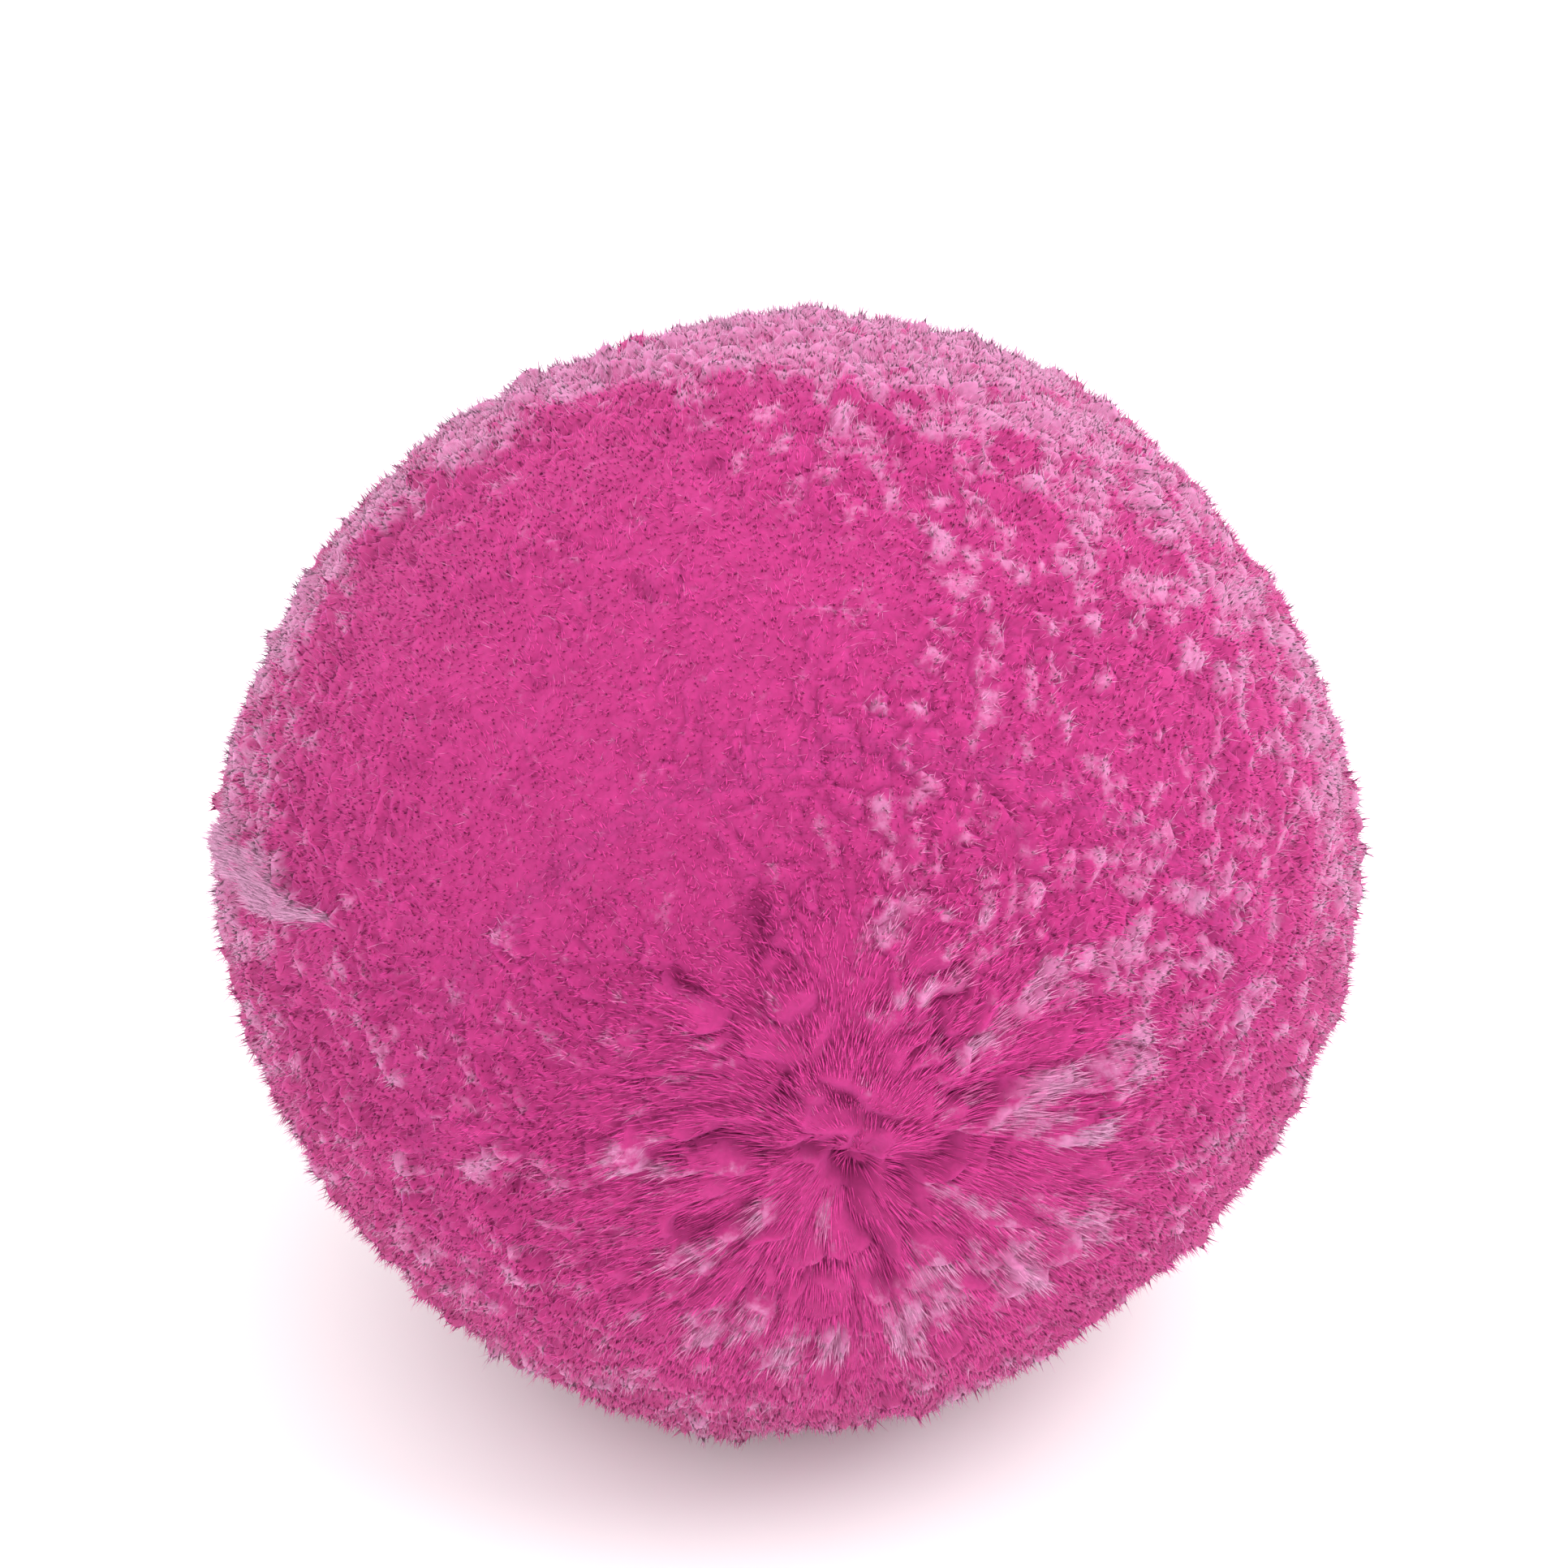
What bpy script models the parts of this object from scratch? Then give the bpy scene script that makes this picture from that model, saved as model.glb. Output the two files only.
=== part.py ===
"""A cut yarn pom pom, resting on its own pile.

A bundle of yarn is tied tight at its middle, its loops are cut, and the ends are trimmed to a ball. The strands are
built as locks: four-sided tufts that spread from the bound middle, stand apart all the way out and end in a soft crown.
They are combed away from one whorl, where the tie draws the pile in. The locks underneath are shorter, and their level
ends are what the ball rests on.

Metres, +Z up. The origin is the point on the table under the ball's middle, and the whorl faces -Y.
"""

import math
from collections import namedtuple

import bmesh
import bpy
import numpy as np
from mathutils import Matrix, Vector
from mathutils.geometry import intersect_point_line

# Driving sizes of the ball, in metres
BALL_DIAMETER = 0.04445  # 1.75 inches across the trimmed pile
BOUND_DIAMETER = 0.0140  # the tied middle that roots every lock
FOOT_DIAMETER = 0.0140  # the flat spot that the ball settles on

# Each lock
LOCK_GAP = 0.00045  # the slit left between one lock and the next
CROWN_HEIGHT = 0.0005  # how far a lock's middle stands over the corners of its end
LENGTH_SPREAD = 0.00020  # how far the scissors missed, more or less
FIBRE_HEIGHT = 0.00045  # how far the loose fibres stand over the lock, out to the trimmed outline

# The grid of four-sided cells that the locks grow from, one lock to a cell
GRID_POINTS = 72  # the points that are joined to triangles, paired and quartered: just under 300 cells
SPREADING_ROUNDS = 80  # how often the points push each other apart
SQUARING_ROUNDS = 60  # how often the cells are drawn towards squares
GRID_SEED = 5

# The view in which the outline below was read: from the front, this far above the level
VIEW_ELEVATION = math.radians(34)

# The whorl, where the tie draws the pile in: its place in that view, from the ball's middle, as shares of the radius
WHORL_RIGHT = 0.131
WHORL_UP = -0.456
WHORL_FLARE = math.radians(9.0)  # how far the ends are combed outwards round it
WHORL_REACH = math.radians(26.0)  # how far from it the combing goes
WHORL_CROWDING = 0.35  # how much smaller the locks are beside it
WHORL_CROWDED = math.radians(32.0)  # how far from it they are smaller
WHORL_DISH = 0.0022  # how far the trimmed ball dips there
WHORL_DISH_WIDTH = math.radians(22.0)

# Where the trimming left the outline full (+) or flat (-), by the angle round it from the right
Swell = namedtuple("Swell", "place angle height half_width")
SWELLS = (
    Swell("right side", math.radians(3), 0.00050, math.radians(20)),
    Swell("upper right", math.radians(58), 0.00020, math.radians(16)),
    Swell("upper left flat", math.radians(108), -0.00065, math.radians(13)),
    Swell("left side", math.radians(177), 0.00055, math.radians(14)),
    Swell("lower left flat", math.radians(221), -0.00035, math.radians(10)),
    Swell("bottom", math.radians(260), 0.00045, math.radians(11)),
    Swell("lower right flat", math.radians(305), -0.00065, math.radians(16)),
    Swell("lower right", math.radians(346), 0.00030, math.radians(9)),
)

# A lock's rings from root to end: how far out each lies, and its width as a share of the room that the lock has
Ring = namedtuple("Ring", "part reach width")
LOCK_RINGS = (
    Ring("root", 0.0, 1.0),
    Ring("shoulder", 0.84, 1.0),
    Ring("brow", 0.95, 0.94),
    Ring("end", 1.0, 0.66),
)

# The finish: magenta acrylic yarn
YARN_COLOUR = (0.610, 0.053, 0.255, 1.0)
YARN_ROUGHNESS = 0.9
YARN_SHEEN = 0.6

BALL_RADIUS = BALL_DIAMETER / 2
BOUND_RADIUS = BOUND_DIAMETER / 2
FOOT_RADIUS = FOOT_DIAMETER / 2
REST_HEIGHT = math.sqrt(BALL_RADIUS**2 - FOOT_RADIUS**2)  # from the table to the ball's middle
FOOT_ANGLE = math.asin(FOOT_RADIUS / BALL_RADIUS)
TABLE_CLEARANCE = 0.0004  # what keeps every lock off the table but those of the foot
DRAWN_WIDTH = math.radians(40)  # how much of the grid follows when a point is brought to its place
SAME_DIRECTION = 1e-4

DOWN = Vector((0, 0, -1))
VIEW_RIGHT = Vector((1, 0, 0))
VIEW_UP = Vector((0, math.sin(VIEW_ELEVATION), math.cos(VIEW_ELEVATION)))
VIEW_BACK = VIEW_RIGHT.cross(VIEW_UP)
WHORL_NEAR = math.sqrt(1 - WHORL_RIGHT**2 - WHORL_UP**2)
WHORL = VIEW_RIGHT * WHORL_RIGHT + VIEW_UP * WHORL_UP + VIEW_BACK * WHORL_NEAR


def bell(distance, half_width):
    """1 at no distance, falling smoothly to nothing past about twice the half width."""
    return math.exp(-((distance / half_width) ** 2))


def turned_from_whorl(direction, angle):
    """The direction, turned this much further from the whorl."""
    return Matrix.Rotation(angle, 3, WHORL.cross(direction)) @ direction


def trimmed_radius(direction):
    """How far from its middle the ball was trimmed in this direction."""
    radius = BALL_RADIUS - WHORL_DISH * bell(direction.angle(WHORL), WHORL_DISH_WIDTH)
    for swell in SWELLS:
        middle = VIEW_RIGHT * math.cos(swell.angle) + VIEW_UP * math.sin(swell.angle)
        radius += swell.height * bell(direction.angle(middle), swell.half_width)
    return radius


def lock_reach(direction, extra):
    """How far from the ball's middle a lock stands in this direction, under the loose fibres of its cut end."""
    return trimmed_radius(direction) - FIBRE_HEIGHT + extra


def unit_rows(points):
    """Each row, at unit length."""
    return points / np.linalg.norm(points, axis=1, keepdims=True)


def even_points(rng):
    """Points spread evenly over the unit sphere: scattered, then pushing each other apart."""
    points = unit_rows(rng.normal(size=(GRID_POINTS, 3)))
    for _ in range(SPREADING_ROUNDS):
        apart = points[:, None] - points
        distance = np.linalg.norm(apart, axis=2, keepdims=True) + np.eye(GRID_POINTS)[:, :, None]
        points = unit_rows(points + (apart / distance**3).sum(axis=1) / GRID_POINTS)
    return points


def four_sided_grid(points):
    """Joins points to a ball of triangles, pairs them where they will pair, and cuts each face into four-sided ones."""
    bm = bmesh.new()
    for point in points:
        bm.verts.new(point)
    bmesh.ops.convex_hull(bm, input=bm.verts[:])
    bmesh.ops.join_triangles(
        bm, faces=bm.faces[:], angle_face_threshold=math.pi, angle_shape_threshold=math.pi
    )
    bmesh.ops.bisect_edges(bm, edges=bm.edges[:], cuts=1)
    middles = bmesh.ops.poke(bm, faces=bm.faces[:])["verts"]
    bm.verts.index_update()
    spokes = [edge for vert in middles for edge in vert.link_edges]
    to_corners = [edge for edge in spokes if min(vert.index for vert in edge.verts) < len(points)]
    bmesh.ops.dissolve_edges(bm, edges=to_corners)
    return bm


def turned(arms, normals, quarters):
    """Arms that lie across their normals, turned round them by this many quarter turns."""
    angle = quarters * math.pi / 2
    return arms * math.cos(angle) + np.cross(normals, arms) * math.sin(angle)


def squared(points, cells):
    """The grid's points after every cell has drawn its corners towards one size of square, over and over."""
    half_diagonal = math.sqrt(4 * math.pi / len(cells) / 2)
    count = np.bincount(cells.ravel(), minlength=len(points))[:, None]
    for _ in range(SQUARING_ROUNDS):
        corners = points[cells]
        middle = corners.mean(axis=1)
        normal = unit_rows(middle)
        arm = np.zeros_like(middle)
        for corner in range(4):
            arm += turned(corners[:, corner] - middle, normal, -corner)
        arm = unit_rows(arm) * half_diagonal
        pulled = np.zeros_like(points)
        for corner in range(4):
            np.add.at(pulled, cells[:, corner], middle + turned(arm, normal, corner))
        points = unit_rows((points + pulled / count) / 2)
    return points


def drawn_to(points, start, goal):
    """The points moved smoothly, so that the one at start comes to goal and the far side stays."""
    nearness = np.exp(-((np.arccos(np.clip(points @ start, -1, 1)) / DRAWN_WIDTH) ** 2))
    return unit_rows(points + nearness[:, None] * (goal - start))


def crowded(direction):
    """The direction drawn in towards the whorl, where the locks are smaller."""
    angle = direction.angle(WHORL)
    if angle < SAME_DIRECTION:
        return direction
    return turned_from_whorl(direction, -angle * WHORL_CROWDING * bell(angle, WHORL_CROWDED))


def lock_grid(rng):
    """A unit ball with a four-sided face for each lock. One face looks straight down and a corner lies on the whorl."""
    bm = four_sided_grid(even_points(rng))
    bm.verts.index_update()
    cells = np.array([[vert.index for vert in face.verts] for face in bm.faces])
    points = squared(np.array([vert.co for vert in bm.verts]), cells)
    middles = unit_rows(points[cells].mean(axis=1))
    lowest = middles[np.argmax(middles @ np.array(DOWN))]
    points = drawn_to(points, lowest, np.array(DOWN))
    nearest = points[np.argmax(points @ np.array(WHORL))]
    points = drawn_to(points, nearest, np.array(WHORL))
    for vert, point in zip(bm.verts, points):
        vert.co = crowded(Vector(point))
    return bm


def mean_direction(directions):
    return sum(directions, Vector()).normalized()


def room_round(middle, corners):
    """The angle from a cell's middle to its nearest side."""
    sides = zip(corners, corners[1:] + corners[:1])
    return min((middle - intersect_point_line(middle, a, b)[0]).length for a, b in sides)


def ring_directions(cell, ring):
    """A lock's corners at one ring: drawn in to leave half a slit, then combed away from the whorl, most at its end."""
    middle = mean_direction(cell)
    radius = BOUND_RADIUS + ring.reach * (BALL_RADIUS - BOUND_RADIUS)
    share = ring.width * (1 - LOCK_GAP / 2 / radius / room_round(middle, cell))
    directions = []
    for corner in cell:
        direction = (middle + (corner - middle) * share).normalized()
        flare = WHORL_FLARE * ring.reach**2 * bell(direction.angle(WHORL), WHORL_REACH)
        directions.append(turned_from_whorl(direction, flare))
    return directions


def table_limited(direction, radius):
    """The radius, shortened where the lock would otherwise come down to the table."""
    if direction.z >= 0:
        return radius
    return min(radius, (REST_HEIGHT - TABLE_CLEARANCE) / -direction.z)


def level_end(direction):
    """The point of the table that this direction meets, kept within the foot's circle."""
    point = direction * (REST_HEIGHT / -direction.z)
    draw_in = min(1.0, FOOT_RADIUS / math.hypot(point.x, point.y))
    return Vector((point.x * draw_in, point.y * draw_in, -REST_HEIGHT))


def stands_on_table(cell):
    return mean_direction(cell).angle(DOWN) < FOOT_ANGLE


def lock_points(cell, ring, extra):
    """The corners of one ring of a lock, measured from the ball's middle."""
    points = []
    for direction in ring_directions(cell, ring):
        if stands_on_table(cell):
            end = level_end(direction)
        else:
            length = lock_reach(direction, extra) - CROWN_HEIGHT
            end = direction * table_limited(direction, length)
        points.append((direction * BOUND_RADIUS).lerp(end, ring.reach))
    return points


def crown_point(cell, extra):
    """The middle of a lock's soft end."""
    direction = mean_direction(ring_directions(cell, LOCK_RINGS[-1]))
    return direction * table_limited(direction, lock_reach(direction, extra))


def place(face, points):
    for vert, point in zip(face.verts, points):
        vert.co = point


def grow_locks(bm, rng):
    """Insets every face of the grid ring by ring, and draws each ring out to make a lock with a crowned or level end."""
    ends = bm.faces[:]
    cells = [[vert.co.copy() for vert in face.verts] for face in ends]
    extras = rng.uniform(-LENGTH_SPREAD, LENGTH_SPREAD, len(cells))
    for vert in bm.verts:
        vert.co *= BOUND_RADIUS
    for ring in LOCK_RINGS:
        bmesh.ops.inset_individual(bm, faces=ends, thickness=0.0)
        for face, cell, extra in zip(ends, cells, extras):
            place(face, lock_points(cell, ring, extra))
    for face, cell, extra in zip(ends, cells, extras):
        if not stands_on_table(cell):
            crown = bmesh.ops.poke(bm, faces=[face])["verts"][0]
            crown.co = crown_point(cell, extra)


def yarn_material():
    material = bpy.data.materials.new("yarn")
    material.use_nodes = True
    shader = material.node_tree.nodes["Principled BSDF"]
    shader.inputs["Base Color"].default_value = YARN_COLOUR
    shader.inputs["Metallic"].default_value = 0.0
    shader.inputs["Roughness"].default_value = YARN_ROUGHNESS
    shader.inputs["Sheen Weight"].default_value = YARN_SHEEN
    return material


def build_pile():
    """The whole pile as one solid: the bound middle and every lock that grows from it."""
    rng = np.random.default_rng(GRID_SEED)
    bm = lock_grid(rng)
    grow_locks(bm, rng)
    bmesh.ops.recalc_face_normals(bm, faces=bm.faces[:])
    mesh = bpy.data.meshes.new("yarn_pile")
    bm.to_mesh(mesh)
    bm.free()
    pile = bpy.data.objects.new("yarn_pile", mesh)
    pile.location = (0, 0, REST_HEIGHT)
    mesh.materials.append(yarn_material())
    bpy.context.scene.collection.objects.link(pile)
    return pile


def main():
    for old in bpy.data.objects[:]:
        bpy.data.objects.remove(old)
    build_pile()


main()
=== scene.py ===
from math import cos, pi, radians, sin, sqrt

import bpy
import numpy as np
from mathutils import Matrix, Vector


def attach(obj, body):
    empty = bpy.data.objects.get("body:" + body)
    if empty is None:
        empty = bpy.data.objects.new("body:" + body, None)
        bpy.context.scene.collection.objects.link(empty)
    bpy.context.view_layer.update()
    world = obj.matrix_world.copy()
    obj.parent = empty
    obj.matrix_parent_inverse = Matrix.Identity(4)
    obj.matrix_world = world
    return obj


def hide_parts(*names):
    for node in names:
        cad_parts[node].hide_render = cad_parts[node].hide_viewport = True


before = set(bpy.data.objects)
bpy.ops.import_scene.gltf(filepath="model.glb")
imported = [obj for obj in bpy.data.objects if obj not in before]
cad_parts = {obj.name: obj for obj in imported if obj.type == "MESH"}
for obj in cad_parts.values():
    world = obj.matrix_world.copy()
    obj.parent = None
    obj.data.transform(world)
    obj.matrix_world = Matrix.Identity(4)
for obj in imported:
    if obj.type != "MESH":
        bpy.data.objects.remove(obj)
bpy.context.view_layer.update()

# Lengths are metres in the frame of the solids: +Z up, the whorl faces -Y, the origin is on the table.
ball = {
    "radius": 0.022225,  # 1.75 inches across the trimmed pile
    "footRadius": 0.0070,  # the flat spot underneath
    "footLevel": 0.00005,  # how high over the table its tufts end
    "lowest": 0.00002,  # nothing goes lower than this
    "viewTilt": radians(34),  # the photograph looks down by this much
}
restHeight = sqrt(ball["radius"] ** 2 - ball["footRadius"] ** 2)
centre = np.array((0, 0, restHeight))
viewRight = np.array((1.0, 0, 0))
viewUp = np.array((0, sin(ball["viewTilt"]), cos(ball["viewTilt"])))
viewBack = np.cross(viewRight, viewUp)

# Where the trimming left the outline full or flat: angle round it from the right, height, half width.
swells = [
    (radians(3), 0.00050, radians(20)),
    (radians(58), 0.00020, radians(16)),
    (radians(108), -0.00065, radians(13)),
    (radians(177), 0.00055, radians(14)),
    (radians(221), -0.00035, radians(10)),
    (radians(260), 0.00045, radians(11)),
    (radians(305), -0.00065, radians(16)),
    (radians(346), 0.00030, radians(9)),
    (radians(123.4), -0.00080, radians(1.6)),
    (radians(265.5), 0.00045, radians(2.5)),
    (radians(282), -0.00060, radians(2.0)),
]

# The place where the tie draws the pile in, and the tufts part and lie over.
whorl = {
    "right": 0.136,
    "up": -0.550,
    "full": radians(10),  # out to here the tufts lie over fully
    "none": radians(46),  # and from here on they stand straight
    "dish": (0.0016, radians(22)),
    "pit": (0.0011, radians(6)),
    "wander": 0.22,  # how far the yarn's lie turns from straight outwards, in radians
    "wanderSize": 0.55,  # within what distance it turns, in radii
    "waves": 8,
    "seed": 5,
}

# The creases that show on their own: right and up of both ends, depth, half width.
creases = [
    (0.000, -0.350, 0.150, -0.410, 0.0006, 0.00065),
    (-0.120, -0.425, 0.040, -0.460, 0.0006, 0.00055),
    (0.040, -0.460, 0.120, -0.500, 0.0007, 0.00075),
    (0.110, -0.510, 0.170, -0.667, 0.0008, 0.00070),
    (0.187, -0.500, 0.278, -0.455, 0.0006, 0.00065),
    (0.278, -0.455, 0.356, -0.460, 0.0005, 0.00060),
    (0.280, -0.376, 0.388, -0.340, 0.0006, 0.00060),
    (-0.180, -0.595, -0.056, -0.552, 0.0006, 0.00045),
    (0.035, -0.680, 0.084, -0.650, 0.0006, 0.00040),
    (0.278, -0.146, 0.254, -0.274, 0.0005, 0.00050),
    (-0.055, -0.030, -0.043, -0.117, 0.0008, 0.00060),
    (-0.168, -0.160, -0.148, -0.185, 0.0004, 0.00050),
    (-0.240, 0.480, -0.230, 0.460, 0.0004, 0.00030),
    (-0.138, 0.695, -0.130, 0.680, 0.0004, 0.00030),
    (-0.645, 0.558, -0.635, 0.545, 0.0004, 0.00030),
    (-0.470, -0.530, -0.430, -0.510, 0.0005, 0.00040),
]

# How pale the cut ends are, partly the yarn's own uneven pale and partly painted highlight and sheen where
# the light falls from above and the right: a plain value, and patches of more or less: right, up, how much,
# half width.
paleAndHighlight = {
    "plain": 0.27,
    "patches": [
        # painted highlight: the patches along the top, at the sides and on the right; the first patch takes
        # the pale away at the flat-lit upper left
        (-0.40, 0.34, -0.42, radians(26)),
        (0.60, 0.26, 0.18, radians(27)),
        (0.70, -0.20, 0.15, radians(20)),
        (0.78, 0.52, 0.35, radians(14)),
        (0.92, 0.32, 0.30, radians(12)),
        (-0.50, -0.66, 0.12, radians(25)),
        (-0.08, -0.93, 0.22, radians(11)),
        (0.45, 0.80, 0.45, radians(19)),
        (0.12, 0.985, 1.40, radians(22)),
        (-0.18, 0.95, 0.65, radians(15)),
        (-0.46, 0.86, 0.72, radians(15)),
        (-0.70, 0.68, 0.62, radians(14)),
        (-0.88, 0.44, 0.45, radians(13)),
        (-0.96, 0.22, 0.45, radians(12)),
        (0.98, 0.02, 0.38, radians(17)),
        (0.10, -0.44, -0.50, radians(9)),
        (0.30, -0.70, 0.35, radians(10)),
        (-0.98, -0.04, 0.45, radians(14)),
        (0.30, -0.95, 0.40, radians(12)),
        (0.12, 0.47, -0.30, radians(5)),
    ],
}

# The pale tufts that stand out round the whorl, their ends partly the yarn's own pale and partly painted
# highlight where the light from the right catches them: right and up, half length and half width in metres.
paleHighlitTufts = [
    (0.550, -0.110, 0.0014, 0.0009),
    (0.411, -0.189, 0.0016, 0.0006),
    (0.320, -0.270, 0.0010, 0.0005),
    (0.560, -0.300, 0.0018, 0.0008),
    (0.450, -0.345, 0.0013, 0.0006),
    (0.400, -0.420, 0.0013, 0.0006),
    (0.490, -0.440, 0.0013, 0.0006),
    (0.270, -0.535, 0.0016, 0.0005),
    (0.245, -0.690, 0.0018, 0.0010),
    (0.390, -0.680, 0.0013, 0.0010),
    (0.510, -0.600, 0.0013, 0.0009),
    (0.190, -0.775, 0.0015, 0.0006),
    (0.090, -0.800, 0.0012, 0.0006),
    (-0.010, -0.835, 0.0010, 0.0007),
    (-0.130, -0.785, 0.0011, 0.0007),
    (-0.160, -0.640, 0.0011, 0.0007),
    (-0.050, -0.575, 0.0010, 0.0005),
    (0.060, -0.580, 0.0008, 0.0004),
    (-0.230, -0.490, 0.0009, 0.0006),
    (-0.030, -0.200, 0.0008, 0.0006),
    (0.170, -0.070, 0.0010, 0.0005),
]

# The lock that came loose at the left and lies over the ball: right, up and half width along it.
loose = {
    "line": [
        (-0.760, -0.078, 0.00030),
        (-0.840, -0.064, 0.00045),
        (-0.895, -0.020, 0.00095),
        (-0.945, 0.018, 0.00100),
        (-0.985, 0.046, 0.00060),
    ],
    "height": 0.00030,
    "gap": (-0.920, 0.004, 0.00035),  # where the yarn's own colour shows through it
    "pale": (1.15, 0.70),  # its own, and how much less there is in the gap
    "dense": 40,  # how many times more fibres it has than the whorl
    "lean": 2.5,
    "longer": 1.3,
}


def unit(rows):
    # each vector over its own length
    return rows / np.maximum(np.linalg.norm(rows, axis=-1, keepdims=True), 1e-9)


def bell(distance, halfWidth):
    # e to the minus square of distance over half width
    return np.exp(-((distance / halfWidth) ** 2))


def smooth(value, low, high):
    # 0 below low, 1 above high, 3t squared less 2t cubed between
    t = np.clip((value - low) / (high - low), 0, 1)
    return t * t * (3 - 2 * t)


waveSpread = (0.7, 1.4)  # how many waves there are to the given length


def waves(points, size, count, rng):
    # the sum of sine waves of about the given length, each with a heading and a start of its own
    heading = unit(rng.normal(0, 1, (count, 3))) * 2 * pi / size * rng.uniform(*waveSpread, (count, 1))
    return np.sin(points @ heading.T + rng.uniform(0, 2 * pi, count)).sum(axis=1) / sqrt(count / 2)


def angleTo(directions, axis):
    # the arc cosine of both directions' product
    return np.arccos(np.clip((directions * axis).sum(axis=-1), -1, 1))


def inView(right, up):
    # the direction of a full ball's point that shows so far right and up of its middle, in radii
    return unit(right * viewRight + up * viewUp + sqrt(max(0, 1 - right**2 - up**2)) * viewBack)


whorlAxis = inView(whorl["right"], whorl["up"])
whorlFirst = unit(np.cross(whorlAxis, viewUp))
whorlSecond = np.cross(whorlAxis, whorlFirst)


def levelled(directions, radius):
    # cut off level just over the table: the height of the middle over the direction's share downwards
    return np.minimum(radius, (restHeight - ball["footLevel"]) / np.maximum(-directions[:, 2], 1e-6))


def trimmedRadius(directions):
    # the ball's radius, less the whorl's dish and pit, plus each swell's bell
    fromWhorl = angleTo(directions, whorlAxis)
    radius = np.full(len(directions), ball["radius"])
    for depth, width in (whorl["dish"], whorl["pit"]):
        radius -= depth * bell(fromWhorl, width)
    for angle, height, width in swells:
        radius += height * bell(angleTo(directions, viewRight * cos(angle) + viewUp * sin(angle)), width)
    return radius


def shownAt(right, up):
    # inView for the trimmed ball, in three rounds: where its surface is nearer the middle, the direction
    # turns further out
    direction = inView(right, up)
    for _ in range(3):
        full = ball["radius"] / trimmedRadius(direction[None])[0]
        direction = inView(right * full, up * full)
    return direction


def paleAndHighlightAt(directions):
    # the pale of the cut ends with its painted highlight: the plain value plus each patch's bell, plus each
    # pale tuft's bell along its lie times that across it
    amount = np.full(len(directions), paleAndHighlight["plain"])
    for right, up, more, width in paleAndHighlight["patches"]:
        amount += more * bell(angleTo(directions, shownAt(right, up)), width)
    for right, up, halfLength, halfWidth in paleHighlitTufts:
        place = shownAt(right, up)
        along, across = lieAt(place[None])
        offset = (directions - place) * ball["radius"]
        amount += bell(offset @ along[0], halfLength) * bell(offset @ across[0], halfWidth)
    return np.clip(amount, 0, 1)


def looseAt(directions):
    # how far inside the loose lock each direction is, and the lock's heading there: e to the minus fourth
    # power of the distance from a part of its line over the half width, the largest over all the parts
    inside = np.zeros(len(directions))
    heading = np.zeros((len(directions), 3))
    rows = [(shownAt(right, up), width) for right, up, width in loose["line"]]
    for (start, width0), (end, width1) in zip(rows, rows[1:]):
        t = np.clip((directions - start) @ (end - start) / ((end - start) @ (end - start)), 0, 1)
        away = np.linalg.norm(directions - start - t[:, None] * (end - start), axis=1) * ball["radius"]
        share = np.exp(-((away / (width0 + t * (width1 - width0))) ** 4))
        nearer = share > inside
        inside[nearer] = share[nearer]
        heading[nearer] = unit(end - start)
    return inside, heading


def lyingOver(directions):
    # 1 beside the whorl, 0 where the tufts stand straight
    return 1 - smooth(angleTo(directions, whorlAxis), whorl["full"], whorl["none"])


def lieAt(directions):
    # two directions along the surface: away from the whorl, turned by the sum of a few waves, and across
    side = unit(directions - (directions * whorlAxis).sum(axis=1, keepdims=True) * whorlAxis)
    theta = angleTo(directions, whorlAxis)[:, None]
    away = np.cos(theta) * side - np.sin(theta) * whorlAxis
    aside = np.cross(directions, away)
    rng = np.random.default_rng(whorl["seed"])
    turn = whorl["wander"] * waves(directions, whorl["wanderSize"], whorl["waves"], rng)[:, None]
    return np.cos(turn) * away + np.sin(turn) * aside, np.cos(turn) * aside - np.sin(turn) * away


def creaseDepth(directions):
    # each crease's bell over the distance from its line
    depth = np.zeros(len(directions))
    for right0, up0, right1, up1, deep, width in creases:
        start, end = shownAt(right0, up0), shownAt(right1, up1)
        t = np.clip((directions - start) @ (end - start) / ((end - start) @ (end - start)), 0, 1)
        distance = np.linalg.norm(directions - start - t[:, None] * (end - start), axis=1)
        depth += deep * bell(distance * ball["radius"], width)
    return depth


def evenPlaces(count, rng, stray):
    # equal steps of height and golden turns round the ball, each point then moved by a share of the spacing
    row = np.arange(count)
    height = 1 - (2 * row + 1) / count
    turn = row * pi * (3 - sqrt(5))
    flat = np.sqrt(1 - height**2)
    places = np.stack([flat * np.cos(turn), flat * np.sin(turn), height], axis=1)
    return unit(places + rng.normal(0, stray * sqrt(4 * pi / count), places.shape))


# The tufts that the cut ends make together.
tufts = {
    "count": 4600,
    "stray": 0.17,
    "locks": 1500,  # neighbours gather into so many locks
    "lockStray": 0.25,
    "draw": 0.30,  # how far each tuft moves to its lock's middle
    "spread": 0.0006,  # how much the locks' lengths differ
    "uneven": 0.00010,  # and each tuft's own
    "shares": (0.55, 0.30),  # how much of its tone and of its paleness a tuft has from its lock
    "merged": 0.68,  # how many of them join their neighbours beside the whorl
    "long": 2.8,  # how many times longer than wide they are there
    "astray": 0.15,  # how far each turns from the yarn's lie, in radians
    "paleAndHighlight": (0.50, 1.00),  # of those that are pale at all
    "plainLong": 1.35,  # how many times longer than wide they are elsewhere
    "areas": 60,
    "areaReach": radians(27),
    "seed": 21,
}
tuftSpacing = sqrt(4 * pi / tufts["count"])


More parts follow.
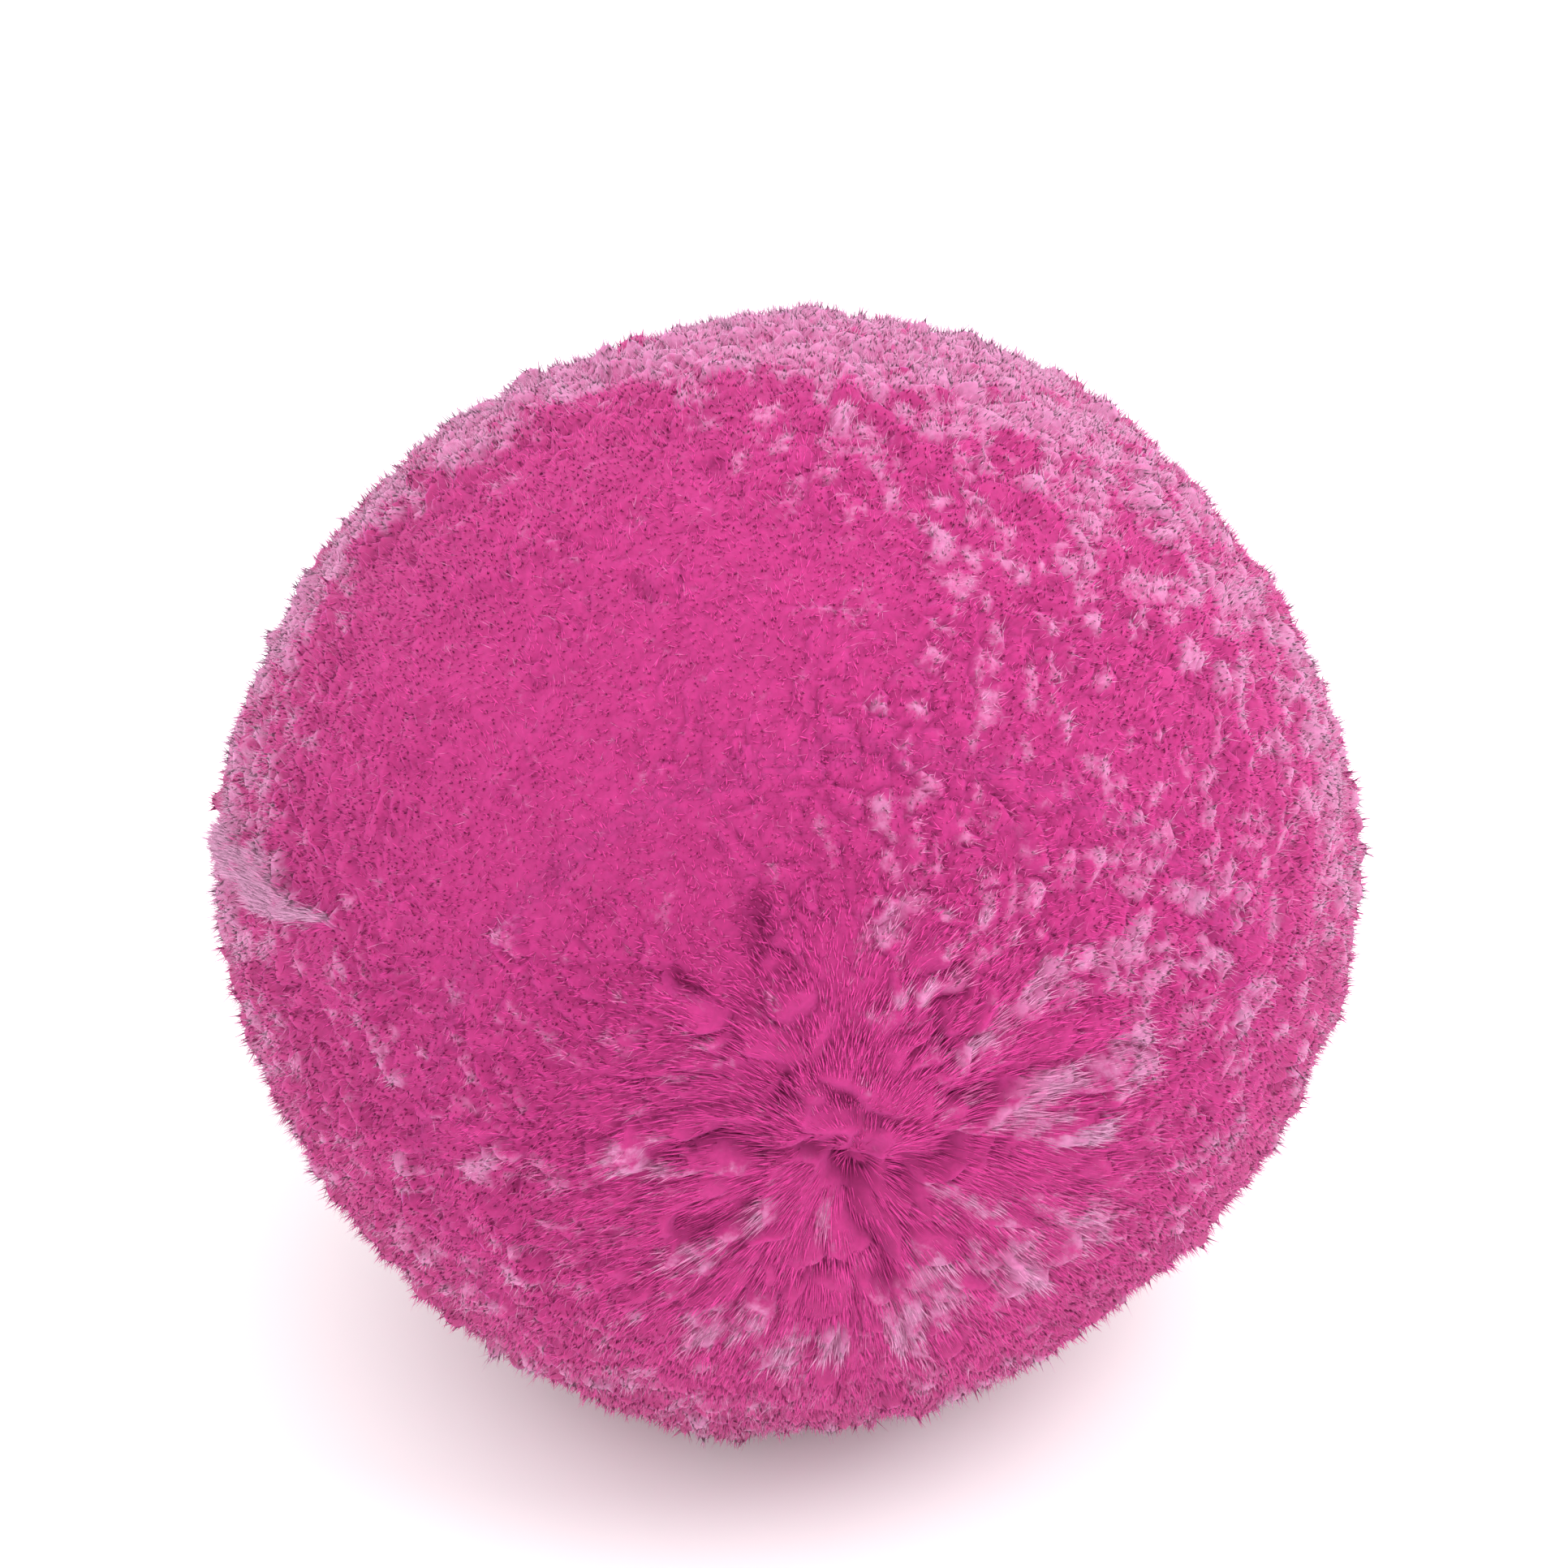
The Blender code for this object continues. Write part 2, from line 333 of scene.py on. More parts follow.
def layOut(rng):
    # even places, each drawn to the nearest of a set of lock middles, some left out beside the whorl
    places = evenPlaces(tufts["count"], rng, tufts["stray"])
    middles = evenPlaces(tufts["locks"], rng, tufts["lockStray"])
    lock = np.argmax(places @ middles.T, axis=1)
    places = unit(places + tufts["draw"] * (middles[lock] - places))
    left = rng.random(len(places)) > tufts["merged"] * lyingOver(places)
    places, lock = places[left], lock[left]
    count = len(places)
    over = lyingOver(places)
    lie, aside = lieAt(places)
    turn = rng.normal(0, tufts["astray"], count)[:, None]
    lockChance = rng.random((tufts["locks"], 3))[lock]
    shares = np.array(tufts["shares"])
    chance = shares * lockChance[:, 1:] + (1 - shares) * rng.random((count, 2))
    rank = np.argsort(np.argsort(chance[:, 1])) / count
    return {
        "places": places,
        "lie": np.cos(turn) * lie + np.sin(turn) * aside,
        "stretch": tufts["plainLong"] + (tufts["long"] - tufts["plainLong"]) * over,
        "height": tufts["spread"] * (lockChance[:, 0] - 0.5) + rng.normal(0, tufts["uneven"], count),
        "lean": rng.normal(0, 1, (count, 3)),
        "tone": chance[:, 0],
        "rank": rank,
        "strength": rng.uniform(*tufts["paleAndHighlight"], count),
    }


def nearestTuft(directions, tuft):
    # The nearest tuft to each direction, and how far in from its edge that is, in spacings: the distance
    # to the next one less the distance to this. Distances count for less along a tuft that is longer than
    # wide. The search looks only at the tufts round the area that the direction is in.
    middles = tuft["places"].T
    lies = (tuft["lie"] * np.sqrt(1 - 1 / tuft["stretch"] ** 2)[:, None]).T
    nearest = np.empty(len(directions), int)
    inside = np.empty(len(directions))
    areas = evenPlaces(tufts["areas"], np.random.default_rng(0), 0)
    area = np.argmax(directions @ areas.T, axis=1)
    for number, middle in enumerate(areas):
        rows = np.flatnonzero(area == number)
        close = np.flatnonzero(angleTo(tuft["places"], middle) < tufts["areaReach"])
        far = 2 - 2 * directions[rows] @ middles[:, close] - (directions[rows] @ lies[:, close]) ** 2
        here = (np.arange(len(rows)), far.argmin(axis=1))
        own = far[here]
        far[here] = np.inf
        nearest[rows] = close[here[1]]
        inside[rows] = (np.sqrt(far.min(axis=1)) - np.sqrt(np.maximum(own, 0))) / tuftSpacing
    return nearest, inside


# The surface that the tufts' thick parts make together, a little under their cut ends.
skin = {
    "steps": 124,  # along each of the twelve edges of the grid
    "merge": 1e4,  # grid points that round alike, in so many steps to a radius, are one
    "uvMargin": 0.02,  # round each of the six sides, as a share of it
    "depth": 0.00018,  # under the ends
    "relief": 0.00052,  # of the creases between tufts
    "plainRelief": 0.30,  # the share of it that is left where nothing is pale
    "fullRelief": 0.30,  # the paleness from which all of it is there
    "domeWidth": 0.95,  # how far in from its edge a tuft reaches its full height, in spacings
    "domeRound": 0.80,
    "shingle": 0.00030,  # how much higher a tuft that lies over is at its end
    "warp": 0.15,  # how much the creases wander, in spacings
    "warpSize": 1.6,  # and within what distance
    "waves": 14,
    "seed": 23,
}

# How a tuft's pale comes out, partly its own and partly painted highlight on its top, from the pale and
# painted highlight of its place and its rank among all.
bloomAndHighlight = {
    "range": (-0.12, 0.20),  # it comes as paleness less rank goes through this
    "faint": (0.55, 0.05, 0.35),  # the share that is left where few are pale, and where it is full again
    "crowded": 0.45,  # how much stronger it is where all are pale
    "edge": (0.7, 0.6),  # how fast it fades to the tuft's edge, and how much less so where all are pale
    "root": 0.45,  # how much is lost at the root end of a tuft that lies over
    "streak": 0.17,
    "streakSize": 0.8,  # in spacings
    "streakReach": 0.024,  # how far apart along the yarn's lie its waves are read, in radii
    "waves": 14,
    "seed": 9,
}


def streakAt(directions):
    # the same waves at three places along the yarn's lie, summed and halved, so that they run on along it
    lie = lieAt(directions)[0]
    total = np.zeros(len(directions))
    for shift in (-1, 0, 1):
        read = unit(directions + shift * bloomAndHighlight["streakReach"] * lie)
        rng = np.random.default_rng(bloomAndHighlight["seed"])
        total += waves(read, bloomAndHighlight["streakSize"] * tuftSpacing, bloomAndHighlight["waves"], rng) / 2
    return total


def bloomAndHighlightAt(directions, pale, dome, along, own):
    # the smooth step of pale and painted highlight less rank plus streak, times the tuft's strength, less at
    # its edge and root, so that the painted highlight sits on the tuft tops
    share, low, high = bloomAndHighlight["faint"]
    fast, less = bloomAndHighlight["edge"]
    level = smooth(pale - own["rank"] + bloomAndHighlight["streak"] * streakAt(directions), *bloomAndHighlight["range"])
    level *= own["strength"] + bloomAndHighlight["crowded"] * pale
    level *= share + (1 - share) * smooth(pale, low, high)
    level *= dome ** (fast - less * pale)
    return level * (1 - bloomAndHighlight["root"] * lyingOver(directions) * (0.5 - 0.5 * along))


def surfaceAt(directions, tuft):
    # The trimmed radius, plus the nearest tuft's own height and its rise along its lie, less the relief near
    # its edge and the creases, plus the loose lock. The dome, a power of the sine of the way in from the
    # edge, takes each tuft to its neighbour's height without a step.
    rng = np.random.default_rng(skin["seed"])
    size = skin["warpSize"] * tuftSpacing
    drift = np.stack([waves(directions, size, skin["waves"], rng) for _ in range(3)], axis=1)
    looked = unit(directions + skin["warp"] * tuftSpacing * drift)
    nearest, inside = nearestTuft(looked, tuft)
    own = {key: tuft[key][nearest] for key in ("lie", "stretch", "height", "tone", "rank", "strength")}
    dome = np.sin(pi / 2 * np.clip(inside / skin["domeWidth"], 0, 1)) ** skin["domeRound"]
    halfLength = 0.5 * tuftSpacing * own["stretch"]
    along = np.clip((looked * own["lie"]).sum(axis=1) / halfLength, -1, 1)
    rise = own["height"] + skin["shingle"] * lyingOver(directions) * along
    # the pale of the cut ends here, with the painted highlight where the light falls
    pale = paleAndHighlightAt(directions)
    inLock, _ = looseAt(looked)
    right, up, width = loose["gap"]
    inGap = bell(angleTo(looked, shownAt(right, up)) * ball["radius"], width)
    lockPale, gapLess = loose["pale"]
    least = skin["plainRelief"]
    relief = skin["relief"] * (least + (1 - least) * smooth(pale, 0, skin["fullRelief"]))
    under = (relief * (1 - dome) + creaseDepth(looked)) * (1 - inLock)
    radius = trimmedRadius(directions) - skin["depth"] + rise * dome - under + loose["height"] * inLock
    bloom = bloomAndHighlightAt(directions, pale, dome, along, own)
    return {
        "radius": levelled(directions, radius),
        "nearest": nearest,
        "under": 1000 * under,
        "tone": 0.5 + (own["tone"] - 0.5) * dome,
        "bloom": bloom * (1 - inLock) + (lockPale - gapLess * inGap) * inLock,
    }


def makePiece(name, points, faceSets, values, uv, material):
    # points (n, 3) from the ball's middle, faces as arrays of one width each, values per point, uv per
    # corner; the points are moved to the ball's place and kept over the table
    mesh = bpy.data.meshes.new(name)
    placed = points + centre
    placed[:, 2] = np.maximum(placed[:, 2], ball["lowest"])
    corners = np.concatenate([faces.ravel() for faces in faceSets])
    widths = np.concatenate([np.full(len(faces), faces.shape[1]) for faces in faceSets])
    mesh.vertices.add(len(placed))
    mesh.loops.add(len(corners))
    mesh.polygons.add(len(widths))
    mesh.vertices.foreach_set("co", placed.astype(np.float32).ravel())
    mesh.loops.foreach_set("vertex_index", corners.astype(np.int32))
    mesh.polygons.foreach_set("loop_start", (np.cumsum(widths) - widths).astype(np.int32))
    mesh.update(calc_edges=True)
    for key, value in values.items():
        layer = mesh.attributes.new(key, "FLOAT", "POINT")
        layer.data.foreach_set("value", value.astype(np.float32).ravel())
    layer = mesh.uv_layers.new(name="OFBake")
    layer.uv.foreach_set("vector", uv.astype(np.float32).ravel())
    mesh.shade_smooth()
    mesh.materials.append(material)
    piece = bpy.data.objects.new(name, mesh)
    bpy.context.scene.collection.objects.link(piece)
    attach(piece, "root")
    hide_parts("yarn_pile")
    print(name, len(placed), "points,", int((widths - 2).sum()), "triangles")


# The finer surface round the whorl. The ball's own dips under it.
cap = {
    "rings": 150,
    "spokes": 360,
    "rim": radians(50),
    "dips": (radians(46), radians(50)),  # where the cap goes down into the ball
    "over": (radians(39), radians(44)),  # where the ball's own surface comes up
    "sink": 0.0012,
    "middle": 0.0140,  # how far out the point is that closes it underneath
    "shownUv": (0.5, 0.48),  # the middle and the radius of what shows of it in the UV map
    "underUv": (0.06, 0.04),  # and of its underside
}


def buildBall(tuft, material):
    # a cube's grid, spaced by the tangents of even angles and drawn out to the ball, its edges merged
    steps = skin["steps"]
    side = steps + 1
    line = np.tan(np.linspace(-pi / 4, pi / 4, side))
    a, b = np.meshgrid(line, line, indexing="ij")
    x, y, z = np.eye(3)
    frames = [(x, y, z), (y, z, x), (z, x, y), (-x, z, y), (-y, x, z), (-z, y, x)]
    sides = [(w + a[..., None] * u + b[..., None] * v).reshape(-1, 3) for w, u, v in frames]
    grid = unit(np.concatenate(sides))
    rounded = np.round(grid * skin["merge"]).astype(int)
    _, chosen, place = np.unique(rounded, axis=0, return_index=True, return_inverse=True)
    directions = grid[chosen]
    i, j = np.meshgrid(np.arange(steps), np.arange(steps), indexing="ij")
    low = (i * side + j).ravel()
    quads = np.stack([low, low + side, low + side + 1, low + 1], axis=1)
    quads = (quads[None] + (np.arange(6) * side**2)[:, None, None]).reshape(-1, 4)
    cell, inCell = quads // side**2, quads % side**2
    margin = skin["uvMargin"]
    local = np.stack([inCell // side, inCell % side], axis=-1) / steps * (1 - 2 * margin) + margin
    uv = (np.stack([cell % 3, cell // 3], axis=-1) + local) / (3, 2)
    surface = surfaceAt(directions, tuft)
    sunk = cap["sink"] * (1 - smooth(angleTo(directions, whorlAxis), *cap["over"]))
    points = directions * (surface["radius"] - sunk)[:, None]
    values = {key: surface[key] for key in ("under", "tone", "bloom")}
    makePiece("tuftSurface", points, [place.ravel()[quads]], values, uv.reshape(-1, 2), material)


def buildCap(tuft, material):
    # rings round the whorl at even angles, a point in the middle, and one deep inside that closes the rim
    rings, spokes = cap["rings"], cap["spokes"]
    theta = np.repeat(np.arange(1, rings + 1) * cap["rim"] / rings, spokes)[:, None]
    turn = np.tile(np.arange(spokes) * 2 * pi / spokes, rings)[:, None]
    side = np.cos(turn) * whorlFirst + np.sin(turn) * whorlSecond
    directions = np.concatenate([whorlAxis[None], np.cos(theta) * whorlAxis + np.sin(theta) * side])
    surface = surfaceAt(directions, tuft)
    sunk = cap["sink"] * smooth(angleTo(directions, whorlAxis), *cap["dips"])
    points = directions * (surface["radius"] - sunk)[:, None]
    points = np.concatenate([points, cap["middle"] * whorlAxis[None]])
    values = {key: np.append(surface[key], 0) for key in ("under", "tone", "bloom")}
    k = np.arange(spokes)
    after = (k + 1) % spokes
    low = 1 + np.arange(rings - 1)[:, None] * spokes
    quads = np.stack([low + k, low + spokes + k, low + spokes + after, low + after], axis=-1).reshape(-1, 4)
    top = np.stack([np.zeros(spokes, int), 1 + k, 1 + after], axis=1)
    last = 1 + (rings - 1) * spokes
    under = np.stack([np.full(spokes, len(points) - 1), last + after, last + k], axis=1)
    around = np.concatenate([np.cos(turn), np.sin(turn)], axis=1)
    disc = np.concatenate([[[0, 0]], theta / cap["rim"] * around, [[0, 0]]])
    shown = np.concatenate([disc[quads].reshape(-1, 2), disc[top].reshape(-1, 2)])
    shownMiddle, shownReach = cap["shownUv"]
    underMiddle, underReach = cap["underUv"]
    shown = shownMiddle + shownReach * shown
    uv = np.concatenate([shown, underMiddle + underReach * disc[under].reshape(-1, 2)])
    makePiece("whorlSurface", points, [quads, top, under], values, uv, material)


# The fibres of the cut ends: thin closed three-sided spikes.
fibres = {
    "count": 140000,
    "more": 26000,  # and so many more where they lie over
    "rooted": 0.00010,  # how deep in the surface each starts
    "length": (0.00030, 0.00062),
    "longer": 1.1,  # how much longer those are that lie over, as a share of the length
    "lean": 3.2,  # sideways over upwards beside the whorl
    "leanPower": 1.5,  # how fast that is lost away from it
    "steepest": 1.5,  # the most that they rise or sink with the slope
    "tuftLean": 0.22,  # the same for each tuft's own lean
    "stray": 0.30,  # and each fibre's
    "fuzzShare": 0.20,  # how many are finer and stand any way round
    "fuzzStray": 0.65,
    "fuzzLonger": 0.5,
    "fuzzThick": 0.5,  # as a share of the others
    "fuzzPale": 0.85,  # how much paler their tips are
    "thick": 0.000040,  # at the root of each
    "thickSpread": (0.7, 1.3),
    "tipUnder": 0.6,  # how deep in the pile a tip counts, as a share of its root
    "scatter": 0.45,  # how far each moves from its even place, in spacings
    "slopeStep": 0.02,  # over what distance the slope is read, in radii
    "seed": 22,
}


spikeFaces = np.array([[0, 2, 1], [0, 1, 3], [1, 2, 3], [2, 0, 3]])
spikeUv = np.array([[0.1, 0.1], [0.5, 0.1], [0.9, 0.1], [0.5, 0.9]])  # in a cell of its own


def spikes(name, base, tip, across, thick, values, material):
    # three corners round the base and one at the tip; values are pairs, for the base and for the tip
    count = len(base)
    heading = unit(tip - base)
    sideways = unit(np.cross(heading, across))
    upwards = np.cross(heading, sideways)
    points = np.empty((count, 4, 3))
    for corner in range(3):
        angle = corner * 2 * pi / 3
        points[:, corner] = base + thick[:, None] * (cos(angle) * sideways + sin(angle) * upwards)
    points[:, 3] = tip
    faces = (spikeFaces[None] + (np.arange(count) * 4)[:, None, None]).reshape(-1, 3)
    rows = int(np.ceil(np.sqrt(count)))
    cell = np.stack([np.arange(count) % rows, np.arange(count) // rows], axis=1)
    uv = ((cell[:, None, None] + spikeUv[spikeFaces][None]) / rows).reshape(-1, 2)
    spread = {key: np.stack([low, low, low, high], axis=1) for key, (low, high) in values.items()}
    makePiece(name, points.reshape(-1, 3), [faces], spread, uv, material)


def fibreHeadings(directions, nearest, tuft, over, inLock, lockHeading):
    # outwards, plus the lie along the slope beside the whorl, plus the tuft's own lean elsewhere; in the
    # loose lock the lock's heading instead
    lie = lieAt(directions)[0]
    ahead = unit(directions + fibres["slopeStep"] * lie)
    rise = trimmedRadius(ahead) - creaseDepth(ahead) - trimmedRadius(directions) + creaseDepth(directions)
    slope = rise / (fibres["slopeStep"] * ball["radius"])
    slope = np.clip(slope, -fibres["steepest"], fibres["steepest"])
    lean = fibres["lean"] * over ** fibres["leanPower"]
    heading = directions + lean * (lie + slope[:, None] * directions)
    heading = heading + fibres["tuftLean"] * (1 - over) * tuft["lean"][nearest]
    return (1 - inLock) * heading + inLock * (loose["lean"] * lockHeading + directions)


def buildFibres(tuft, material):
    # at even places, with more where the yarn lies over and on the loose lock, by the squares of both, each
    # turned a little by chance
    rng = np.random.default_rng(fibres["seed"])
    added = evenPlaces(fibres["count"] * 3, rng, fibres["scatter"])
    chance = lyingOver(added) ** 2 + loose["dense"] * looseAt(added)[0] ** 2
    added = added[rng.random(len(added)) < chance * fibres["more"] / chance.sum()]
    directions = np.concatenate([evenPlaces(fibres["count"], rng, fibres["scatter"]), added])
    count = len(directions)
    surface = surfaceAt(directions, tuft)
    over = lyingOver(directions)[:, None]
    isFuzz = rng.random((count, 1)) < fibres["fuzzShare"]
    stray = np.where(isFuzz, fibres["fuzzStray"], fibres["stray"])
    inLock, lockHeading = looseAt(directions)
    inLock = inLock[:, None]
    heading = fibreHeadings(directions, surface["nearest"], tuft, over, inLock, lockHeading)
    heading = unit(heading + stray * rng.normal(0, 1, (count, 3)))
    length = rng.uniform(*fibres["length"], (count, 1))
    longer = fibres["longer"] * over + loose["longer"] * inLock
    length = length * (1 + np.where(isFuzz, fibres["fuzzLonger"], longer))
    base = directions * (surface["radius"] - fibres["rooted"])[:, None]
    tip = base + length * heading
    values = {
        "under": (surface["under"], surface["under"] * fibres["tipUnder"]),
        "tone": (surface["tone"], surface["tone"]),
        "bloom": (surface["bloom"], surface["bloom"] + fibres["fuzzPale"] * isFuzz[:, 0]),
    }
    thick = fibres["thick"] * rng.uniform(*fibres["thickSpread"], count)
    thick = thick * np.where(isFuzz[:, 0], fibres["fuzzThick"], 1)
    across = np.cross(directions, rng.normal(0, 1, (count, 3)))
    quarters = np.array_split(np.argsort(np.arctan2(directions[:, 1], directions[:, 0])), 4)
    names = ("fibresLeftFront", "fibresRightFront", "fibresRightBack", "fibresLeftBack")
    for name, rows in zip(names, quarters):
        part = {key: (low[rows], high[rows]) for key, (low, high) in values.items()}
        spikes(name, base[rows], tip[rows], across[rows], thick[rows], part, material)


# The colours of the yarn: a painted shade deep inside the pile and in the creases, the body along the
# strands, and at their lit cut ends.
# Single fibres let light through, so they are brighter than the tufts.
tuftColours = {
    "Deep": (0.34, 0.019, 0.140, 1),
    "Body": (0.420, 0.027, 0.173, 1),
    "Pale": (0.53, 0.185, 0.360, 1),
}
fibreColours = {
    "Deep": (0.70, 0.046, 0.290, 1),
    "Body": (0.810, 0.058, 0.340, 1),
    "Pale": (0.81, 0.36, 0.60, 1),
}
shading = {
    "deep": (0.1, 1.0),  # how many millimetres under the ends the colour turns to the painted shade
    "bloom": (0.20, 1.10),  # through what values of bloom it turns pale
    "spots": (1500.0, 5.0, 0.7),  # the scale, detail and roughness of the mottle
    "spotted": 2.6,  # how much it adds to the bloom
    "grain": (5500.0, 2.0, 0.5),  # the same of the fine grain
    "toneSpread": (0.06, 0.036),  # how much darker and brighter single tufts are
    "paleFrom": 0.9,  # how many millimetres under the ends the pale stops
    "glow": (1.0, 0.45, 0.75),  # how far each colour of light spreads inside the yarn, in the size below
    "glowSize": 0.0006,
    "surface": {
        "Roughness": 0.85,
        "Specular IOR Level": 0.2,
        "Sheen Weight": 0.12,
        "Sheen Roughness": 0.45,
    },
}


def addNode(tree, kind, links=None, **settings):
    # links holds sockets to join or plain values, by input
    made = tree.nodes.new(kind)
    for key, value in settings.items():
        setattr(made, key, value)
    for key, value in (links or {}).items():
        if isinstance(value, bpy.types.NodeSocket):
            tree.links.new(value, made.inputs[key])
        else:
            made.inputs[key].default_value = value
    return made


def setValues(node, values):
    for key, value in values.items():
        node.inputs[key].default_value = value


def ranged(tree, value, low, high, start=0.0, end=1.0):
    links = {0: value, 1: low, 2: high, 3: start, 4: end}
    return addNode(tree, "ShaderNodeMapRange", links, interpolation_type="SMOOTHSTEP").outputs[0]


def reckon(tree, operation, first, second):
    return addNode(tree, "ShaderNodeMath", {0: first, 1: second}, operation=operation).outputs[0]


def mixed(tree, factor, first, second, blend="MIX"):
    links = {0: factor, 6: first, 7: second}
    return addNode(tree, "ShaderNodeMix", links, data_type="RGBA", blend_type=blend).outputs[2]


def overObject(tree, scale, detail, rough):
    place = addNode(tree, "ShaderNodeTexCoord").outputs["Object"]
    links = {"Vector": place, "Scale": scale, "Detail": detail, "Roughness": rough}
    return addNode(tree, "ShaderNodeTexNoise", links).outputs["Fac"]


def newGroup(name, sockets, result, resultKind):
    tree = bpy.data.node_groups.new(name, "ShaderNodeTree")
    for key, kind in sockets.items():
        tree.interface.new_socket(key, in_out="INPUT", socket_type=kind)
    tree.interface.new_socket(result, in_out="OUTPUT", socket_type=resultKind)
    return tree, addNode(tree, "NodeGroupInput").outputs, addNode(tree, "NodeGroupOutput").inputs[result]


def yarnShade():
    # the body's colour, turned to painted shade deep under the ends, pale with painted highlight on the ends
    # that bloom, and shaded by tone and grain
    number, colour = "NodeSocketFloat", "NodeSocketColor"
    sockets = {"Under": number, "Tone": number, "Bloom": number, "Grain": number}
    sockets.update({"Deep": colour, "Body": colour, "Pale": colour})
    tree, given, out = newGroup("yarnShade", sockets, "Color", colour)
    inside = ranged(tree, given["Under"], *shading["deep"])
    shade = mixed(tree, inside, given["Body"], given["Deep"])
    atEnd = ranged(tree, given["Under"], shading["paleFrom"], 0.0)
    spots = reckon(tree, "SUBTRACT", overObject(tree, *shading["spots"]), 0.5)
    spots = reckon(tree, "MULTIPLY", spots, shading["spotted"])
    bloomed = ranged(tree, reckon(tree, "ADD", given["Bloom"], spots), *shading["bloom"])
    shade = mixed(tree, reckon(tree, "MULTIPLY", atEnd, bloomed), shade, given["Pale"])
    darker, brighter = shading["toneSpread"]
    value = ranged(tree, given["Tone"], 0, 1, 1 - darker, 1 + brighter)
    fine = reckon(tree, "SUBTRACT", overObject(tree, *shading["grain"]), 0.5)
    grain = reckon(tree, "ADD", reckon(tree, "MULTIPLY", fine, given["Grain"]), 1.0)
    value = reckon(tree, "MULTIPLY", value, grain)
    grey = addNode(tree, "ShaderNodeCombineXYZ", {0: value, 1: value, 2: value}).outputs[0]
    tree.links.new(mixed(tree, 1.0, shade, grey, "MULTIPLY"), out)
    return tree


def outwardNormal():
    # the face's own direction turned towards straight outwards, as a pile scatters light
    tree, given, out = newGroup("outwardNormal", {"Share": "NodeSocketFloat"}, "Normal", "NodeSocketVector")
    flat = addNode(tree, "ShaderNodeNewGeometry").outputs["Normal"]
    place = addNode(tree, "ShaderNodeTexCoord").outputs["Object"]
    links = {0: place, 1: Vector(centre)}
    outwards = addNode(tree, "ShaderNodeVectorMath", links, operation="SUBTRACT").outputs[0]
    outwards = addNode(tree, "ShaderNodeVectorMath", {0: outwards}, operation="NORMALIZE").outputs[0]
    links = {0: given["Share"], 4: flat, 5: outwards}
    soft = addNode(tree, "ShaderNodeMix", links, data_type="VECTOR").outputs[1]
    tree.links.new(addNode(tree, "ShaderNodeVectorMath", {0: soft}, operation="NORMALIZE").outputs[0], out)
    return tree


def yarnMaterial(name, colours, grain, glow, softNormal):
    # with its own strength of the grain, the glow and the soft normal
    material = bpy.data.materials.new(name)
    material.use_nodes = True
    tree = material.node_tree
    shader = tree.nodes["Principled BSDF"]
    links = {"Grain": grain, **colours}
    for key in ("Under", "Tone", "Bloom"):
        links[key] = addNode(tree, "ShaderNodeAttribute", attribute_name=key.lower()).outputs["Fac"]
    shade = addNode(tree, "ShaderNodeGroup", links, node_tree=shadeGroup)
    tree.links.new(shade.outputs["Color"], shader.inputs["Base Color"])
    soft = addNode(tree, "ShaderNodeGroup", {"Share": softNormal}, node_tree=normalGroup)
    tree.links.new(soft.outputs["Normal"], shader.inputs["Normal"])
    setValues(shader, shading["surface"])
    scatter = {"Weight": glow, "Radius": shading["glow"], "Scale": shading["glowSize"]}
    setValues(shader, {"Subsurface " + key: value for key, value in scatter.items()})
    return material


shadeGroup = yarnShade()
normalGroup = outwardNormal()
tuftLook = yarnMaterial("yarnTuft", tuftColours, grain=0.5, glow=0.5, softNormal=0.8)
fibreLook = yarnMaterial("yarnFibre", fibreColours, grain=0.0, glow=0.0, softNormal=0.95)
tuft = layOut(np.random.default_rng(tufts["seed"]))
buildBall(tuft, tuftLook)
buildCap(tuft, tuftLook)
print("surfaces made")
buildFibres(tuft, fibreLook)
print("pile made")

